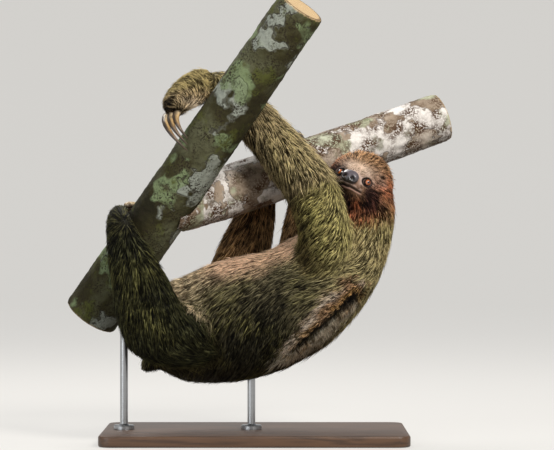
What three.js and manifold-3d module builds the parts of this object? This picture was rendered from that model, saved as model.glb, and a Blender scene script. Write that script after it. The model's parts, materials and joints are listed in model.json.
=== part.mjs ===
// A brown-throated three-toed sloth, life size, hanging belly up in the fork of two branches,
// on a display stand: a flat base with one rod up to the branches and one up to its back.
// Millimetres, +Z up. The origin is the middle of the base's underside. The sloth's head is
// towards +X and its left side faces -Y. The solids reach out to the tips of the coat.

import * as THREE from 'three';
import { mergeVertices } from 'three/addons/utils/BufferGeometryUtils.js';
import Module from 'manifold-3d';

const gap = 0.3; // clearance between pieces that touch

// --- display stand ---------------------------------------------------------------------------
const base = { length: 500, depth: 290, thickness: 18, corner: 22, bevel: 2.5 };
const rod = { radius: 6.5, collarRadius: 17, collarHeight: 7, sides: 14 };
const perchRod = { x: -216, y: -2, top: 255 };
const backRod = { x: -6, y: 0, top: 130 };

// --- branches: points along the middle, and a radius at each --------------------------------
const frontBranch = {
  points: [[75, -142, 702], [-36, -87, 544], [-144, -35, 389], [-272, 25, 205]],
  radii: [39.5, 42, 43.5, 47],
};
const backBranch = {
  points: [[-147, -40, 380], [-66, 26, 403], [75, 60, 453], [194, 114, 494], [317, 148, 539]],
  radii: [41, 44, 43.5, 43, 42],
};
const branchSides = 18;
const branchSteps = 8;

// --- the sloth: rows are x, y, z, half width across, half width through ----------------------
const trunk = {
  across: [0, 1, 0],
  sides: 22,
  steps: 15,
  capRings: 3,
  capLength: [48, 24],
  rows: [
    [-130, 0, 184, 72, 84],
    [-98, 0, 185, 82, 93],
    [-25, 0, 200, 93, 104],
    [52, 0, 223, 92, 97],
    [114, 0, 270, 85, 86],
    [151, -1, 306, 72, 72],
    [175, -3, 339, 57, 55],
    [189, -5, 378, 47, 44],
    [186, -9, 408, 46, 42],
  ],
};
const trunkCuts = { rumpToBelly: 0.19, bellyToChest: 0.42, chestToNeck: 0.715 };

const tail = {
  across: [0, 1, 0],
  sides: 12,
  steps: 3,
  capRings: 3,
  capLength: [8, 16],
  rows: [[-136, 0, 160, 26, 24], [-163, 0, 138, 24, 21], [-180, 0, 122, 19, 17]],
};

// each limb is two lofts that meet at the elbow or knee, the second running on to the end of the
// hand or foot, which is parted from it at endCut
const limbSides = 14;
const leftArm = {
  upper: {
    across: [0.1, 0.9, 0.25],
    steps: 6,
    capLength: [20, 40],
    rows: [
      [124, -16, 262, 44, 44],
      [119, -54, 308, 48, 47],
      [109, -66, 368, 45, 45],
      [89, -56, 420, 42, 44],
    ],
  },
  lower: {
    across: [0.1, 0.9, 0.25],
    steps: 11,
    capLength: [40, 17],
    rows: [
      [89, -56, 420, 42, 44],
      [48, -42, 470, 37, 40],
      [2, -27, 524, 32, 37],
      [-40, -26, 566, 28, 33],
      [-78, -40, 582, 28, 31],
      [-106, -58, 572, 28, 28],
      [-131, -71, 549, 25, 22],
    ],
  },
  endCut: 0.66,
};

const rightArm = {
  upper: {
    across: [0.3, 0.3, 0.9],
    steps: 4,
    capLength: [20, 40],
    rows: [[128, 42, 268, 46, 48], [104, 78, 280, 44, 45], [77, 100, 310, 40, 41]],
  },
  lower: {
    across: [0.5, 0.75, 0.1],
    steps: 9,
    capLength: [40, 15],
    rows: [
      [77, 100, 310, 40, 41],
      [79, 108, 350, 35, 36],
      [84, 120, 400, 29, 30],
      [76, 126, 444, 24, 24],
      [64, 117, 476, 22, 21],
      [57, 98, 493, 20, 16],
    ],
  },
  endCut: 0.6,
};

const leftLeg = {
  upper: {
    across: [0.58, -0.81, 0],
    steps: 4,
    capLength: [20, 50],
    rows: [[-86, -32, 189, 60, 58], [-124, -66, 176, 60, 58], [-159, -94, 182, 54, 52]],
  },
  lower: {
    across: [0.25, 0.95, 0.1],
    steps: 10,
    capLength: [50, 15],
    rows: [
      [-159, -94, 182, 52, 56],
      [-171, -99, 214, 46, 56],
      [-181, -98, 246, 42, 52],
      [-195, -94, 286, 36, 44],
      [-209, -88, 322, 29, 35],
      [-217, -74, 349, 27, 27],
      [-221, -50, 366, 24, 19],
      [-217, -27, 372, 21, 16],
    ],
  },
  endCut: 0.66,
};

const rightLeg = {
  upper: {
    across: [0.7, -0.6, 0],
    steps: 4,
    capLength: [20, 46],
    rows: [[-84, 44, 194, 56, 54], [-60, 76, 216, 54, 52], [-38, 98, 254, 50, 50]],
  },
  lower: {
    across: [0.3, 0.9, 0.1],
    steps: 9,
    capLength: [46, 15],
    rows: [
      [-38, 98, 254, 48, 51],
      [-24, 106, 296, 42, 49],
      [-10, 110, 336, 37, 44],
      [2, 116, 376, 31, 36],
      [12, 122, 416, 27, 28],
      [16, 116, 454, 23, 22],
      [17, 97, 475, 20, 16],
    ],
  },
  endCut: 0.62,
};

// --- head: its own frame, and the rounded masses that it is built from -----------------------
const skull = {
  centre: [165, -20, 427.5],
  forward: [-0.203, -0.896, 0.395],
  up: [0.447, 0.274, 0.85],
  sides: 24,
  rings: 17,
  blend: 14, // a higher number gives a sharper meeting of the masses
};
// rows are forward, left, up of the centre, then half sizes forward, left, up
const headMasses = [
  [-28, -2, 8, 46, 58, 56], // cranium and crown
  [-22, 2, -15, 42, 64, 42], // cheeks and throat
  [11, 0, -10, 26, 20, 19], // muzzle
  [3, 0, 14, 20, 27, 17], // brow
];
const nose = { at: [31.5, 0, -9], half: [7, 13, 9.5] };
const eye = { at: [12, 24, 0], radius: 6 };

// --- claws: three on each foot, hooked round a branch -----------------------------------------
// along is a distance from the branch's first point; angle 0 is the side away from the ground,
// and grows towards the front; out is the distance from the branch's middle
const claw = { halfWide: 4.2, halfDeep: 5.6, tipSize: 0.25, sides: 8, steps: 5 };
const leftHandClaws = {
  branch: frontBranch,
  bulge: 9,
  first: { root: { along: 274, angle: 14, out: 82 }, tip: { along: 291, angle: 86, out: 46.5 } },
  last: { root: { along: 255, angle: 18, out: 69 }, tip: { along: 276, angle: 70, out: 47 } },
};
const rightHandClaws = {
  branch: backBranch,
  bulge: 2,
  first: { root: { along: 256, angle: -44, out: 60 }, tip: { along: 252, angle: 46, out: 46.5 } },
  last: { root: { along: 276, angle: -44, out: 60 }, tip: { along: 271, angle: 46, out: 46.5 } },
};
const leftFootClaws = {
  branch: frontBranch,
  bulge: 3,
  first: { root: { along: 464, angle: 14, out: 54 }, tip: { along: 458, angle: -80, out: 48 } },
  last: { root: { along: 440, angle: 14, out: 54 }, tip: { along: 436, angle: -80, out: 48 } },
};
const rightFootClaws = {
  branch: backBranch,
  bulge: 2,
  first: { root: { along: 208, angle: -46, out: 61 }, tip: { along: 210, angle: 46, out: 46.5 } },
  last: { root: { along: 230, angle: -46, out: 61 }, tip: { along: 230, angle: 46, out: 46.5 } },
};

// --- materials --------------------------------------------------------------------------------
function matt(color, roughness) {
  return new THREE.MeshStandardMaterial({ color, roughness, metalness: 0 });
}
const finishes = {
  headFur: matt(0x7a4a30, 0.95),
  trunkFur: matt(0x7b6650, 0.95),
  limbFur: matt(0x5c5230, 0.95),
  noseSkin: matt(0x2b2624, 0.45),
  eyeball: matt(0x3a1a0c, 0.08),
  horn: matt(0xa88a5a, 0.4),
  bark: matt(0xb9b3a6, 0.9),
  baseWood: matt(0x4a3527, 0.5),
  rodSteel: new THREE.MeshStandardMaterial({ color: 0x8e9092, roughness: 0.35, metalness: 1 }),
};

// --- solids -----------------------------------------------------------------------------------
const wasm = await Module();
wasm.setup();

function toSolid(geometry) {
  const bare = geometry.clone();
  bare.deleteAttribute('normal');
  bare.deleteAttribute('uv');
  const merged = mergeVertices(bare, 1e-3);
  const corners = merged.index.array;
  const kept = [];
  for (let i = 0; i < corners.length; i += 3) {
    const [a, b, c] = corners.slice(i, i + 3);
    if (a !== b && b !== c && c !== a) kept.push(a, b, c);
  }
  return new wasm.Manifold(new wasm.Mesh({
    numProp: 3,
    vertProperties: merged.attributes.position.array,
    triVerts: Uint32Array.from(kept),
  }));
}

function toGeometry(solid) {
  const mesh = solid.getMesh();
  const geometry = new THREE.BufferGeometry();
  geometry.setAttribute('position', new THREE.BufferAttribute(mesh.vertProperties, 3));
  geometry.setIndex(new THREE.BufferAttribute(mesh.triVerts, 1));
  geometry.computeVertexNormals();
  return geometry;
}

function vector(numbers) {
  return new THREE.Vector3(...numbers);
}

// --- lofts: a round-ended rod of unit size, bent along a curve and given each row's half sizes --
function unitRod(sides, steps, capRings) {
  const profile = [];
  for (let i = 0; i <= capRings; i += 1) {
    const angle = (i / capRings) * (Math.PI / 2);
    profile.push(new THREE.Vector2(Math.sin(angle), -Math.cos(angle)));
  }
  for (let i = 1; i < steps; i += 1) profile.push(new THREE.Vector2(1, i / steps));
  for (let i = 0; i <= capRings; i += 1) {
    const angle = (i / capRings) * (Math.PI / 2);
    profile.push(new THREE.Vector2(Math.cos(angle), 1 + Math.sin(angle)));
  }
  profile[0].x = 0;
  profile[profile.length - 1].x = 0;
  return new THREE.LatheGeometry(profile, sides);
}

function middleOf(rows) {
  return new THREE.CatmullRomCurve3(rows.map((row) => vector(row.slice(0, 3))));
}

function loft({ rows, across, sides, steps, capRings, capLength }, grow = 0) {
  const middle = middleOf(rows);
  const halves = new THREE.CatmullRomCurve3(rows.map(([, , , wide, deep]) => vector([wide, deep, 0])));
  const acrossWish = vector(across);
  const geometry = unitRod(sides, steps, capRings);
  const place = geometry.attributes.position;
  for (let i = 0; i < place.count; i += 1) {
    const [x, y, z] = [place.getX(i), place.getY(i), place.getZ(i)];
    const t = THREE.MathUtils.clamp(y, 0, 1);
    const beyond = y < 0 ? y * (capLength[0] + grow) : Math.max(y - 1, 0) * (capLength[1] + grow);
    const tangent = middle.getTangent(t);
    const wide = acrossWish.clone().projectOnPlane(tangent).normalize();
    const deep = new THREE.Vector3().crossVectors(wide, tangent);
    const half = halves.getPoint(t);
    const point = middle.getPoint(t)
      .addScaledVector(tangent, beyond)
      .addScaledVector(wide, x * (half.x + grow))
      .addScaledVector(deep, z * (half.y + grow));
    place.setXYZ(i, point.x, point.y, point.z);
  }
  return toSolid(geometry);
}

// what lies before and after a plane, half a gap clear of it
function trimBefore(solid, point, normal) {
  return solid.trimByPlane(normal.clone().negate().toArray(), gap / 2 - point.dot(normal));
}

function trimAfter(solid, point, normal) {
  return solid.trimByPlane(normal.toArray(), gap / 2 + point.dot(normal));
}

// the two sides of a cut square to a loft's middle at t
function partAt(solid, { rows }, t) {
  const middle = middleOf(rows);
  const [point, normal] = [middle.getPoint(t), middle.getTangent(t)];
  return [trimBefore(solid, point, normal), trimAfter(solid, point, normal)];
}

// --- branches ---------------------------------------------------------------------------------
function branchSolid({ points, radii }, grow = 0) {
  const rows = points.map((point, i) => [...point, radii[i], radii[i]]);
  const shape = { sides: branchSides, steps: branchSteps, capRings: 1, capLength: [1.5, 1.5] };
  return loft({ ...shape, rows, across: [0, 1, 0] }, grow);
}

// a place round a branch, given by how far along it is, its angle and its distance out
function roundBranch({ points }, { along, angle, out }) {
  const middle = new THREE.CatmullRomCurve3(points.map(vector));
  const u = along / middle.getLength();
  const tangent = middle.getTangentAt(u);
  const upSide = new THREE.Vector3(0, 0, 1).projectOnPlane(tangent).normalize();
  const front = new THREE.Vector3(0, -1, 0).projectOnPlane(tangent).projectOnPlane(upSide).normalize();
  const turn = THREE.MathUtils.degToRad(angle);
  return middle.getPointAt(u)
    .addScaledVector(upSide, out * Math.cos(turn))
    .addScaledVector(front, out * Math.sin(turn));
}

// --- claws ------------------------------------------------------------------------------------
function between(start, end, share) {
  return {
    along: THREE.MathUtils.lerp(start.along, end.along, share),
    angle: THREE.MathUtils.lerp(start.angle, end.angle, share),
    out: THREE.MathUtils.lerp(start.out, end.out, share),
  };
}

function clawRows({ branch, bulge }, root, tip) {
  const rows = [];
  const stations = 4;
  for (let i = 0; i <= stations; i += 1) {
    const share = i / stations;
    const spot = between(root, tip, share);
    spot.out += bulge * Math.sin(share * Math.PI);
    const size = THREE.MathUtils.lerp(1, claw.tipSize, share ** 1.8);
    rows.push([...roundBranch(branch, spot).toArray(), claw.halfWide * size, claw.halfDeep * size]);
  }
  return rows;
}

function clawLofts(claws) {
  const { branch, first, last } = claws;
  const side = roundBranch(branch, last.tip).sub(roundBranch(branch, first.tip)).normalize();
  return [0, 0.5, 1].map((share) => ({
    rows: clawRows(claws, between(first.root, last.root, share), between(first.tip, last.tip, share)),
    across: side.toArray(),
    sides: claw.sides,
    steps: claw.steps,
    capRings: 1,
    capLength: [2, 1.5],
  }));
}

// --- head -------------------------------------------------------------------------------------
const headUp = vector(skull.up).normalize();
const headForward = vector(skull.forward).projectOnPlane(headUp).normalize();
const headLeft = new THREE.Vector3().crossVectors(headUp, headForward);

function headPlace([forward, left, up]) {
  return vector(skull.centre)
    .addScaledVector(headForward, forward)
    .addScaledVector(headLeft, left)
    .addScaledVector(headUp, up);
}

// how far a ray from the centre goes before it leaves a mass, or 0 where it misses
function reachThrough(direction, [forward, left, up, halfForward, halfLeft, halfUp], grow) {
  const halves = vector([halfForward + grow, halfLeft + grow, halfUp + grow]);
  const start = vector([-forward, -left, -up]).divide(halves);
  const ray = direction.clone().divide(halves);
  const along = start.dot(ray);
  const inside = along ** 2 - ray.lengthSq() * (start.lengthSq() - 1);
  return inside < 0 ? 0 : Math.max((Math.sqrt(inside) - along) / ray.lengthSq(), 0);
}

function headSolid(grow = 0) {
  const geometry = new THREE.SphereGeometry(1, skull.sides, skull.rings);
  const place = geometry.attributes.position;
  for (let i = 0; i < place.count; i += 1) {
    const direction = new THREE.Vector3(place.getZ(i), place.getX(i), place.getY(i));
    const reaches = headMasses.map((mass) => reachThrough(direction, mass, grow) ** skull.blend);
    const reach = reaches.reduce((sum, part) => sum + part, 0) ** (1 / skull.blend);
    const point = headPlace(direction.multiplyScalar(reach).toArray());
    place.setXYZ(i, point.x, point.y, point.z);
  }
  return toSolid(geometry);
}

function headBall({ at, half }, grow, sides, rings) {
  const geometry = new THREE.SphereGeometry(1, sides, rings);
  const place = geometry.attributes.position;
  for (let i = 0; i < place.count; i += 1) {
    const point = headPlace([
      at[0] + place.getZ(i) * (half[0] + grow),
      at[1] + place.getX(i) * (half[1] + grow),
      at[2] + place.getY(i) * (half[2] + grow),
    ]);
    place.setXYZ(i, point.x, point.y, point.z);
  }
  return toSolid(geometry);
}

// --- stand ------------------------------------------------------------------------------------
function baseSolid() {
  const { length, depth, thickness, corner, bevel } = base;
  const [halfLength, halfDepth] = [length / 2 - bevel, depth / 2 - bevel];
  const outline = new THREE.Shape();
  outline.absarc(halfLength - corner, halfDepth - corner, corner, 0, Math.PI / 2);
  outline.absarc(corner - halfLength, halfDepth - corner, corner, Math.PI / 2, Math.PI);
  outline.absarc(corner - halfLength, corner - halfDepth, corner, Math.PI, Math.PI * 1.5);
  outline.absarc(halfLength - corner, corner - halfDepth, corner, Math.PI * 1.5, Math.PI * 2);
  const plate = new THREE.ExtrudeGeometry(outline, {
    depth: thickness - 2 * bevel,
    bevelThickness: bevel,
    bevelSize: bevel,
    bevelSegments: 1,
    curveSegments: 4,
  });
  return toSolid(plate.translate(0, 0, bevel));
}

function uprightCylinder(radius, bottom, top) {
  const cylinder = new THREE.CylinderGeometry(radius, radius, top - bottom, rod.sides);
  return cylinder.rotateX(Math.PI / 2).translate(0, 0, (top + bottom) / 2);
}

function rodSolid({ x, y, top }) {
  const foot = base.thickness + gap;
  const shaft = toSolid(uprightCylinder(rod.radius, foot, top).translate(x, y, 0));
  const collar = toSolid(uprightCylinder(rod.collarRadius, foot, foot + rod.collarHeight).translate(x, y, 0));
  return shaft.add(collar);
}

// --- the group ----------------------------------------------------------------------------------
const group = new THREE.Group();

function put(name, solid, material) {
  const mesh = new THREE.Mesh(toGeometry(solid), material);
  mesh.name = name;
  group.add(mesh);
}

// branches: the back one is cut to the front one's side
const frontGrown = branchSolid(frontBranch, gap);
const backGrown = branchSolid(backBranch, gap);
put('perch_front', branchSolid(frontBranch), finishes.bark);
put('perch_back', branchSolid(backBranch).subtract(frontGrown), finishes.bark);

// head, with its sockets for the eyes and the nose pad
const sides = { left: 1, right: -1 };
const headGrown = headSolid(gap);
let head = headSolid().subtract(headBall(nose, gap, 12, 8));
put('nose', headBall(nose, 0, 12, 8), finishes.noseSkin);
for (const [side, sign] of Object.entries(sides)) {
  const [forward, left, up] = eye.at;
  const ball = { at: [forward, left * sign, up], half: [eye.radius, eye.radius, eye.radius] };
  head = head.subtract(headBall(ball, gap, 8, 6));
  put(`eye_${side}`, headBall(ball, 0, 8, 6), finishes.eyeball);
}
put('head', head, finishes.headFur);

// trunk, from rump to neck
const trunkGrown = loft(trunk, gap);
const [rump, beforeNeck] = partAt(loft(trunk).subtract(headGrown), trunk, trunkCuts.rumpToBelly);
const [belly, upperTrunk] = partAt(beforeNeck, trunk, trunkCuts.bellyToChest);
const [chest, neck] = partAt(upperTrunk, trunk, trunkCuts.chestToNeck);
put('rump', rump, finishes.trunkFur);
put('belly', belly, finishes.trunkFur);
put('chest', chest, finishes.trunkFur);
put('neck', neck, finishes.headFur);
put('tail', loft(tail).subtract(trunkGrown), finishes.trunkFur);

// limbs: parted at the elbow or knee, and cut to the trunk, the head and the branches
function addLimb({ limb, names, claws, clawName }) {
  const common = { sides: limbSides, capRings: 3 };
  const [upperShape, lowerShape] = [{ ...common, ...limb.upper }, { ...common, ...limb.lower }];
  const bend = middleOf(upperShape.rows).getTangent(1).add(middleOf(lowerShape.rows).getTangent(0));
  const joint = middleOf(lowerShape.rows).getPoint(0);
  let upper = trimBefore(loft(upperShape), joint, bend.normalize());
  let lower = trimAfter(loft(lowerShape), joint, bend);
  for (const neighbour of [trunkGrown, headGrown, frontGrown, backGrown]) {
    upper = upper.subtract(neighbour);
    lower = lower.subtract(neighbour);
  }
  clawLofts(claws).forEach((clawLoft, i) => {
    const horn = loft(clawLoft).subtract(frontGrown).subtract(backGrown);
    put(`${clawName}_${i + 1}`, horn, finishes.horn);
    lower = lower.subtract(loft(clawLoft, gap));
  });
  const [middle, end] = partAt(lower, lowerShape, limb.endCut);
  [upper, middle, end].forEach((solid, i) => put(names[i], solid, finishes.limbFur));
}

addLimb({
  limb: leftArm,
  names: ['upper_arm_left', 'forearm_left', 'hand_left'],
  claws: leftHandClaws,
  clawName: 'claw_hand_left',
});
addLimb({
  limb: rightArm,
  names: ['upper_arm_right', 'forearm_right', 'hand_right'],
  claws: rightHandClaws,
  clawName: 'claw_hand_right',
});
addLimb({
  limb: leftLeg,
  names: ['thigh_left', 'shin_left', 'foot_left'],
  claws: leftFootClaws,
  clawName: 'claw_foot_left',
});
addLimb({
  limb: rightLeg,
  names: ['thigh_right', 'shin_right', 'foot_right'],
  claws: rightFootClaws,
  clawName: 'claw_foot_right',
});

// stand
put('stand_base', baseSolid(), finishes.baseWood);
put('stand_rod_perch', rodSolid(perchRod).subtract(frontGrown), finishes.rodSteel);
put('stand_rod_back', rodSolid(backRod).subtract(trunkGrown), finishes.rodSteel);

export default group;
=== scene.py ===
# A brown-throated three-toed sloth, life size, hanging belly up from two cut branches on a
# display stand. Metres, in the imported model's own frame: +Z up, head towards +X, left side -Y.

import json
import math
import bmesh
import bpy
import numpy as np
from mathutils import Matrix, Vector, noise
from mathutils.bvhtree import BVHTree

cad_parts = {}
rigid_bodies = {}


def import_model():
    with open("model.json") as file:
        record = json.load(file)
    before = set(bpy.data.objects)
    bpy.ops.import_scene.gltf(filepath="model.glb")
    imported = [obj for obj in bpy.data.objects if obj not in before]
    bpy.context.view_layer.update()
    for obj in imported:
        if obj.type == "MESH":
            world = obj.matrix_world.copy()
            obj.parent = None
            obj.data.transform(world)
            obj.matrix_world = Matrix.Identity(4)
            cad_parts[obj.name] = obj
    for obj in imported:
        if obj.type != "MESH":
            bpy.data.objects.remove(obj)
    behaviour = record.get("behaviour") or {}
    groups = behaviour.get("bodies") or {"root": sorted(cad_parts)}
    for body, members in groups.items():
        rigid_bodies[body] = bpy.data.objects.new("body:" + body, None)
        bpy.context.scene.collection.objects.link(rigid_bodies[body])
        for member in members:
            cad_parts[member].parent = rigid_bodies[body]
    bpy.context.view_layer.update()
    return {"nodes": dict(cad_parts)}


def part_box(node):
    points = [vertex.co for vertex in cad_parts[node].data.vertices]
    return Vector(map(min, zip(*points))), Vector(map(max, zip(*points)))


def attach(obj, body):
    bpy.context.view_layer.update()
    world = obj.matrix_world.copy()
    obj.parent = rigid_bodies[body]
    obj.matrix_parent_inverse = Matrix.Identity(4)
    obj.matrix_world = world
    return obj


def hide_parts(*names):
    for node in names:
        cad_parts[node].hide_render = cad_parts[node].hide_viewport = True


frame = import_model()
nodes = frame["nodes"]
scene = bpy.context.scene
for leftover in ("Cube", "Light", "Camera"):
    if leftover in bpy.data.objects:
        bpy.data.objects.remove(bpy.data.objects[leftover])
print("frame loaded:", len(nodes), "nodes")


# small helpers

def rgb(code):
    # an sRGB hex colour as the linear numbers that the shader mixes
    parts = [int(code[i:i + 2], 16) / 255 for i in (0, 2, 4)]
    return [p / 12.92 if p <= 0.04045 else ((p + 0.055) / 1.055) ** 2.4 for p in parts]


def colourOf(tone):
    # what a colour socket takes, from a hex colour or a grey level
    return [*rgb(tone), 1.0] if isinstance(tone, str) else [tone, tone, tone, 1.0]


def ease(values, low, high):
    # 0 below low, 1 above high, and smooth between them
    t = np.clip((values - low) / (high - low), 0, 1)
    return t * t * (3 - 2 * t)


def bump(values, middle, width):
    return np.exp(-((values - middle) / width) ** 2)


def spot(first, second, middle, reach):
    return np.exp(-((first - middle[0]) / reach[0]) ** 2 - ((second - middle[1]) / reach[1]) ** 2)


def unit(vectors):
    return vectors / np.maximum(np.linalg.norm(vectors, axis=-1, keepdims=True), 1e-9)


def lengths(vectors):
    return np.linalg.norm(vectors, axis=1)


def boxCorners(name):
    return [np.array(corner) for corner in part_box(name)]


def boxMiddle(name):
    low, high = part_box(name)
    return np.array((low + high) / 2)


def link(name, data):
    piece = bpy.data.objects.new(name, data)
    scene.collection.objects.link(piece)
    return piece


def finished(piece, material, slot, *replaced):
    # smooth, in its material, and riding with the body in place of CAD nodes
    piece.data.materials.clear()
    piece.data.materials.append(material)
    piece.data.shade_smooth()
    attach(piece, "root")
    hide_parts(*replaced)
    return piece


def readOut(items, field):
    flat = np.empty(len(items) * 3)
    items.foreach_get(field, flat)
    return flat.reshape(-1, 3)


def points(mesh):
    return readOut(mesh.vertices, "co")


def normals(mesh):
    return readOut(mesh.vertex_normals, "vector")


def movePoints(mesh, places):
    mesh.vertices.foreach_set("co", places.ravel())
    mesh.update()


def store(mesh, name, values, kind=None):
    # a value for each vertex, which materials and node trees read by name
    kind = kind or ("FLOAT_VECTOR" if values.ndim == 2 else "FLOAT")
    if kind == "FLOAT_COLOR":
        values = np.column_stack([values, np.ones(len(values))])
    field = {"FLOAT": "value", "FLOAT_VECTOR": "vector", "FLOAT_COLOR": "color"}[kind]
    layer = mesh.attributes.new(name, kind, "POINT")
    layer.data.foreach_set(field, np.ascontiguousarray(values, dtype=np.float32).ravel())


def relax(mesh, values, rounds, strength=0.5):
    # evens values out over the mesh, each vertex towards the mean of its neighbours
    ends = np.empty(len(mesh.edges) * 2, dtype=np.int32)
    mesh.edges.foreach_get("vertices", ends)
    a, b = ends.reshape(-1, 2).T
    count = len(mesh.vertices)
    share = np.maximum(np.bincount(a, minlength=count) + np.bincount(b, minlength=count), 1)
    values = values.copy()
    for _ in range(rounds):
        for column in range(values.shape[1]):
            one = values[:, column]
            total = np.bincount(a, one[b], count) + np.bincount(b, one[a], count)
            values[:, column] = one + (total / share - one) * strength
    return values


def meshFrom(form, name):
    mesh = bpy.data.meshes.new(name)
    form.to_mesh(mesh)
    form.free()
    return mesh


def joined(name, meshes, mergeWithin=None):
    form = bmesh.new()
    for mesh in meshes:
        form.from_mesh(mesh)
    if mergeWithin:
        bmesh.ops.remove_doubles(form, verts=form.verts, dist=mergeWithin)
    return meshFrom(form, name)


def mergedMesh(name):
    # a joined-up copy of a CAD node's loose triangles
    return joined(name + "Copy", [nodes[name].data], 1e-5)


def ballMesh(name, middle, radius, rings):
    form = bmesh.new()
    bmesh.ops.create_uvsphere(form, u_segments=rings * 2, v_segments=rings, radius=radius)
    bmesh.ops.translate(form, verts=form.verts, vec=Vector(middle))
    return meshFrom(form, name)


def turnedMesh(name, profile, turns, x=0.0, y=0.0):
    # a profile of radius and height, turned round an upright axis
    form = bmesh.new()
    angles = np.linspace(0, 2 * math.pi, turns, endpoint=False)
    rows = [[form.verts.new((x + r * math.cos(a), y + r * math.sin(a), z)) for a in angles] if r
            else [form.verts.new((x, y, z))] for r, z in profile]
    for one, two in zip(rows[:-1], rows[1:]):
        for i in range(turns):
            ring = [one[i % len(one)], one[(i + 1) % len(one)],
                    two[(i + 1) % len(two)], two[i % len(two)]]
            form.faces.new(list(dict.fromkeys(ring)))
    bmesh.ops.recalc_face_normals(form, faces=form.faces)
    return meshFrom(form, name)


def settled(piece):
    # the modifiers' result as a plain mesh
    view = piece.evaluated_get(bpy.context.evaluated_depsgraph_get())
    mesh = bpy.data.meshes.new_from_object(view)
    piece.modifiers.clear()
    piece.data = mesh
    return mesh


def remeshed(piece, size):
    voxels = piece.modifiers.new("oneSkin", "REMESH")
    voxels.mode = "VOXEL"
    voxels.voxel_size = size
    return settled(piece)


# node trees, for materials and for geometry

class Wire:
    # a node's output; a sum written with it becomes Math nodes
    def __init__(self, tree, socket):
        self.tree, self.socket = tree, socket

    def __add__(self, other):
        return calc("ADD", self, other)

    def __sub__(self, other):
        return calc("SUBTRACT", self, other)

    def __rsub__(self, other):
        return calc("SUBTRACT", other, self)

    def __mul__(self, other):
        return calc("MULTIPLY", self, other)

    def __pow__(self, other):
        return calc("POWER", self, other)


def addNode(tree, kind, values=None, output=0, **settings):
    # a new node with its inputs and settings, and one of its outputs as the result
    node = tree.nodes.new(kind)
    for name, value in settings.items():
        setattr(node, name, value)
    for socket, value in (values or {}).items():
        if isinstance(value, Wire):
            tree.links.new(value.socket, node.inputs[socket])
        else:
            node.inputs[socket].default_value = value
    return Wire(tree, node.outputs[output])


def calc(how, first, second=0.0, clamp=False):
    tree = (first if isinstance(first, Wire) else second).tree
    return addNode(tree, "ShaderNodeMath", {0: first, 1: second}, operation=how, use_clamp=clamp)


def vectorMath(how, first, second=(0, 0, 0)):
    return addNode(first.tree, "ShaderNodeVectorMath", {0: first, 1: second}, "Vector", operation=how)


def scaled(vector, by):
    values = {"Vector": vector, "Scale": by}
    return addNode(vector.tree, "ShaderNodeVectorMath", values, "Vector", operation="SCALE")


def mixed(share, first, second, how="MIX"):
    first, second = [colourOf(tone) if isinstance(tone, str) else tone for tone in (first, second)]
    return addNode(share.tree, "ShaderNodeMix", {0: share, 6: first, 7: second}, 2,
                   data_type="RGBA", blend_type=how, clamp_result=True)


def ramp(value, *stops):
    node = value.tree.nodes.new("ShaderNodeValToRGB")
    value.tree.links.new(value.socket, node.inputs[0])
    while len(node.color_ramp.elements) < len(stops):
        node.color_ramp.elements.new(0.5)
    for element, (place, tone) in zip(node.color_ramp.elements, stops):
        element.position = place
        element.color = colourOf(tone)
    return Wire(value.tree, node.outputs[0])


def crisp(value, edge, soft=0.02):
    # 0 below the edge, 1 above it
    return ramp(value, (edge - soft, 0), (edge + soft, 1))


def attribute(tree, name, output="Fac"):
    return addNode(tree, "ShaderNodeAttribute", None, output, attribute_name=name)


def speckle(where, scale, detail=3.0, rough=0.5, distortion=0.0, output="Fac"):
    values = {"Vector": where, "Scale": scale, "Detail": detail, "Roughness": rough}
    values["Distortion"] = distortion
    return addNode(where.tree, "ShaderNodeTexNoise", values, output)


def newMaterial(name, **shader):
    material = bpy.data.materials.new(name)
    material.use_nodes = True
    tree = material.node_tree
    surface = next(node for node in tree.nodes if node.type == "BSDF_PRINCIPLED")
    for socket, value in shader.items():
        surface.inputs[socket.replace("_", " ")].default_value = value
    return material, tree, surface, addNode(tree, "ShaderNodeTexCoord", None, "Object")


def feed(surface, socket, wire):
    wire.tree.links.new(wire.socket, surface.inputs[socket])


def colourAndRelief(surface, colour, height, strength, distance):
    feed(surface, "Base Color", colour)
    values = {"Height": height, "Strength": strength, "Distance": distance}
    feed(surface, "Normal", addNode(height.tree, "ShaderNodeBump", values))


# the head's own axes, from its eyes and nose

headPlan = {
    "noseAhead": 0.0195,  # from the middle of the eyes to the nose
    "noseBelow": 0.009,
}
sides = ("left", "right")
eyeMiddles = {side: boxMiddle("eye_" + side) for side in sides}
betweenEyes = (eyeMiddles["left"] + eyeMiddles["right"]) / 2
headLeft = unit(eyeMiddles["left"] - eyeMiddles["right"])
toNose = boxMiddle("nose") - betweenEyes
toNose -= headLeft * (toNose @ headLeft)
sideways = np.cross(toNose, headLeft)
headForward = unit(headPlan["noseAhead"] * toNose + headPlan["noseBelow"] * sideways)
headAxes = np.array([headForward, headLeft, np.cross(headForward, headLeft)])


def onHead(places):
    # millimetres ahead of, left of and above the point between the eyes
    return (places - betweenEyes) @ headAxes.T * 1000


def fromHead(places):
    return betweenEyes + np.asarray(places) / 1000 @ headAxes


# skin: the nodes of flesh as one body, inside the tips of the coat

limbs = {"arm": ("upper_arm", "forearm", "hand"), "leg": ("thigh", "shin", "foot")}
fleshNodes = ["head", "neck", "chest", "belly", "rump", "tail"]
fleshNodes += [f"{part}_{side}" for side in sides for part in limbs["arm"] + limbs["leg"]]
clawedLimbs = [f"{part}_{side}" for part in ("hand", "foot") for side in sides]

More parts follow.
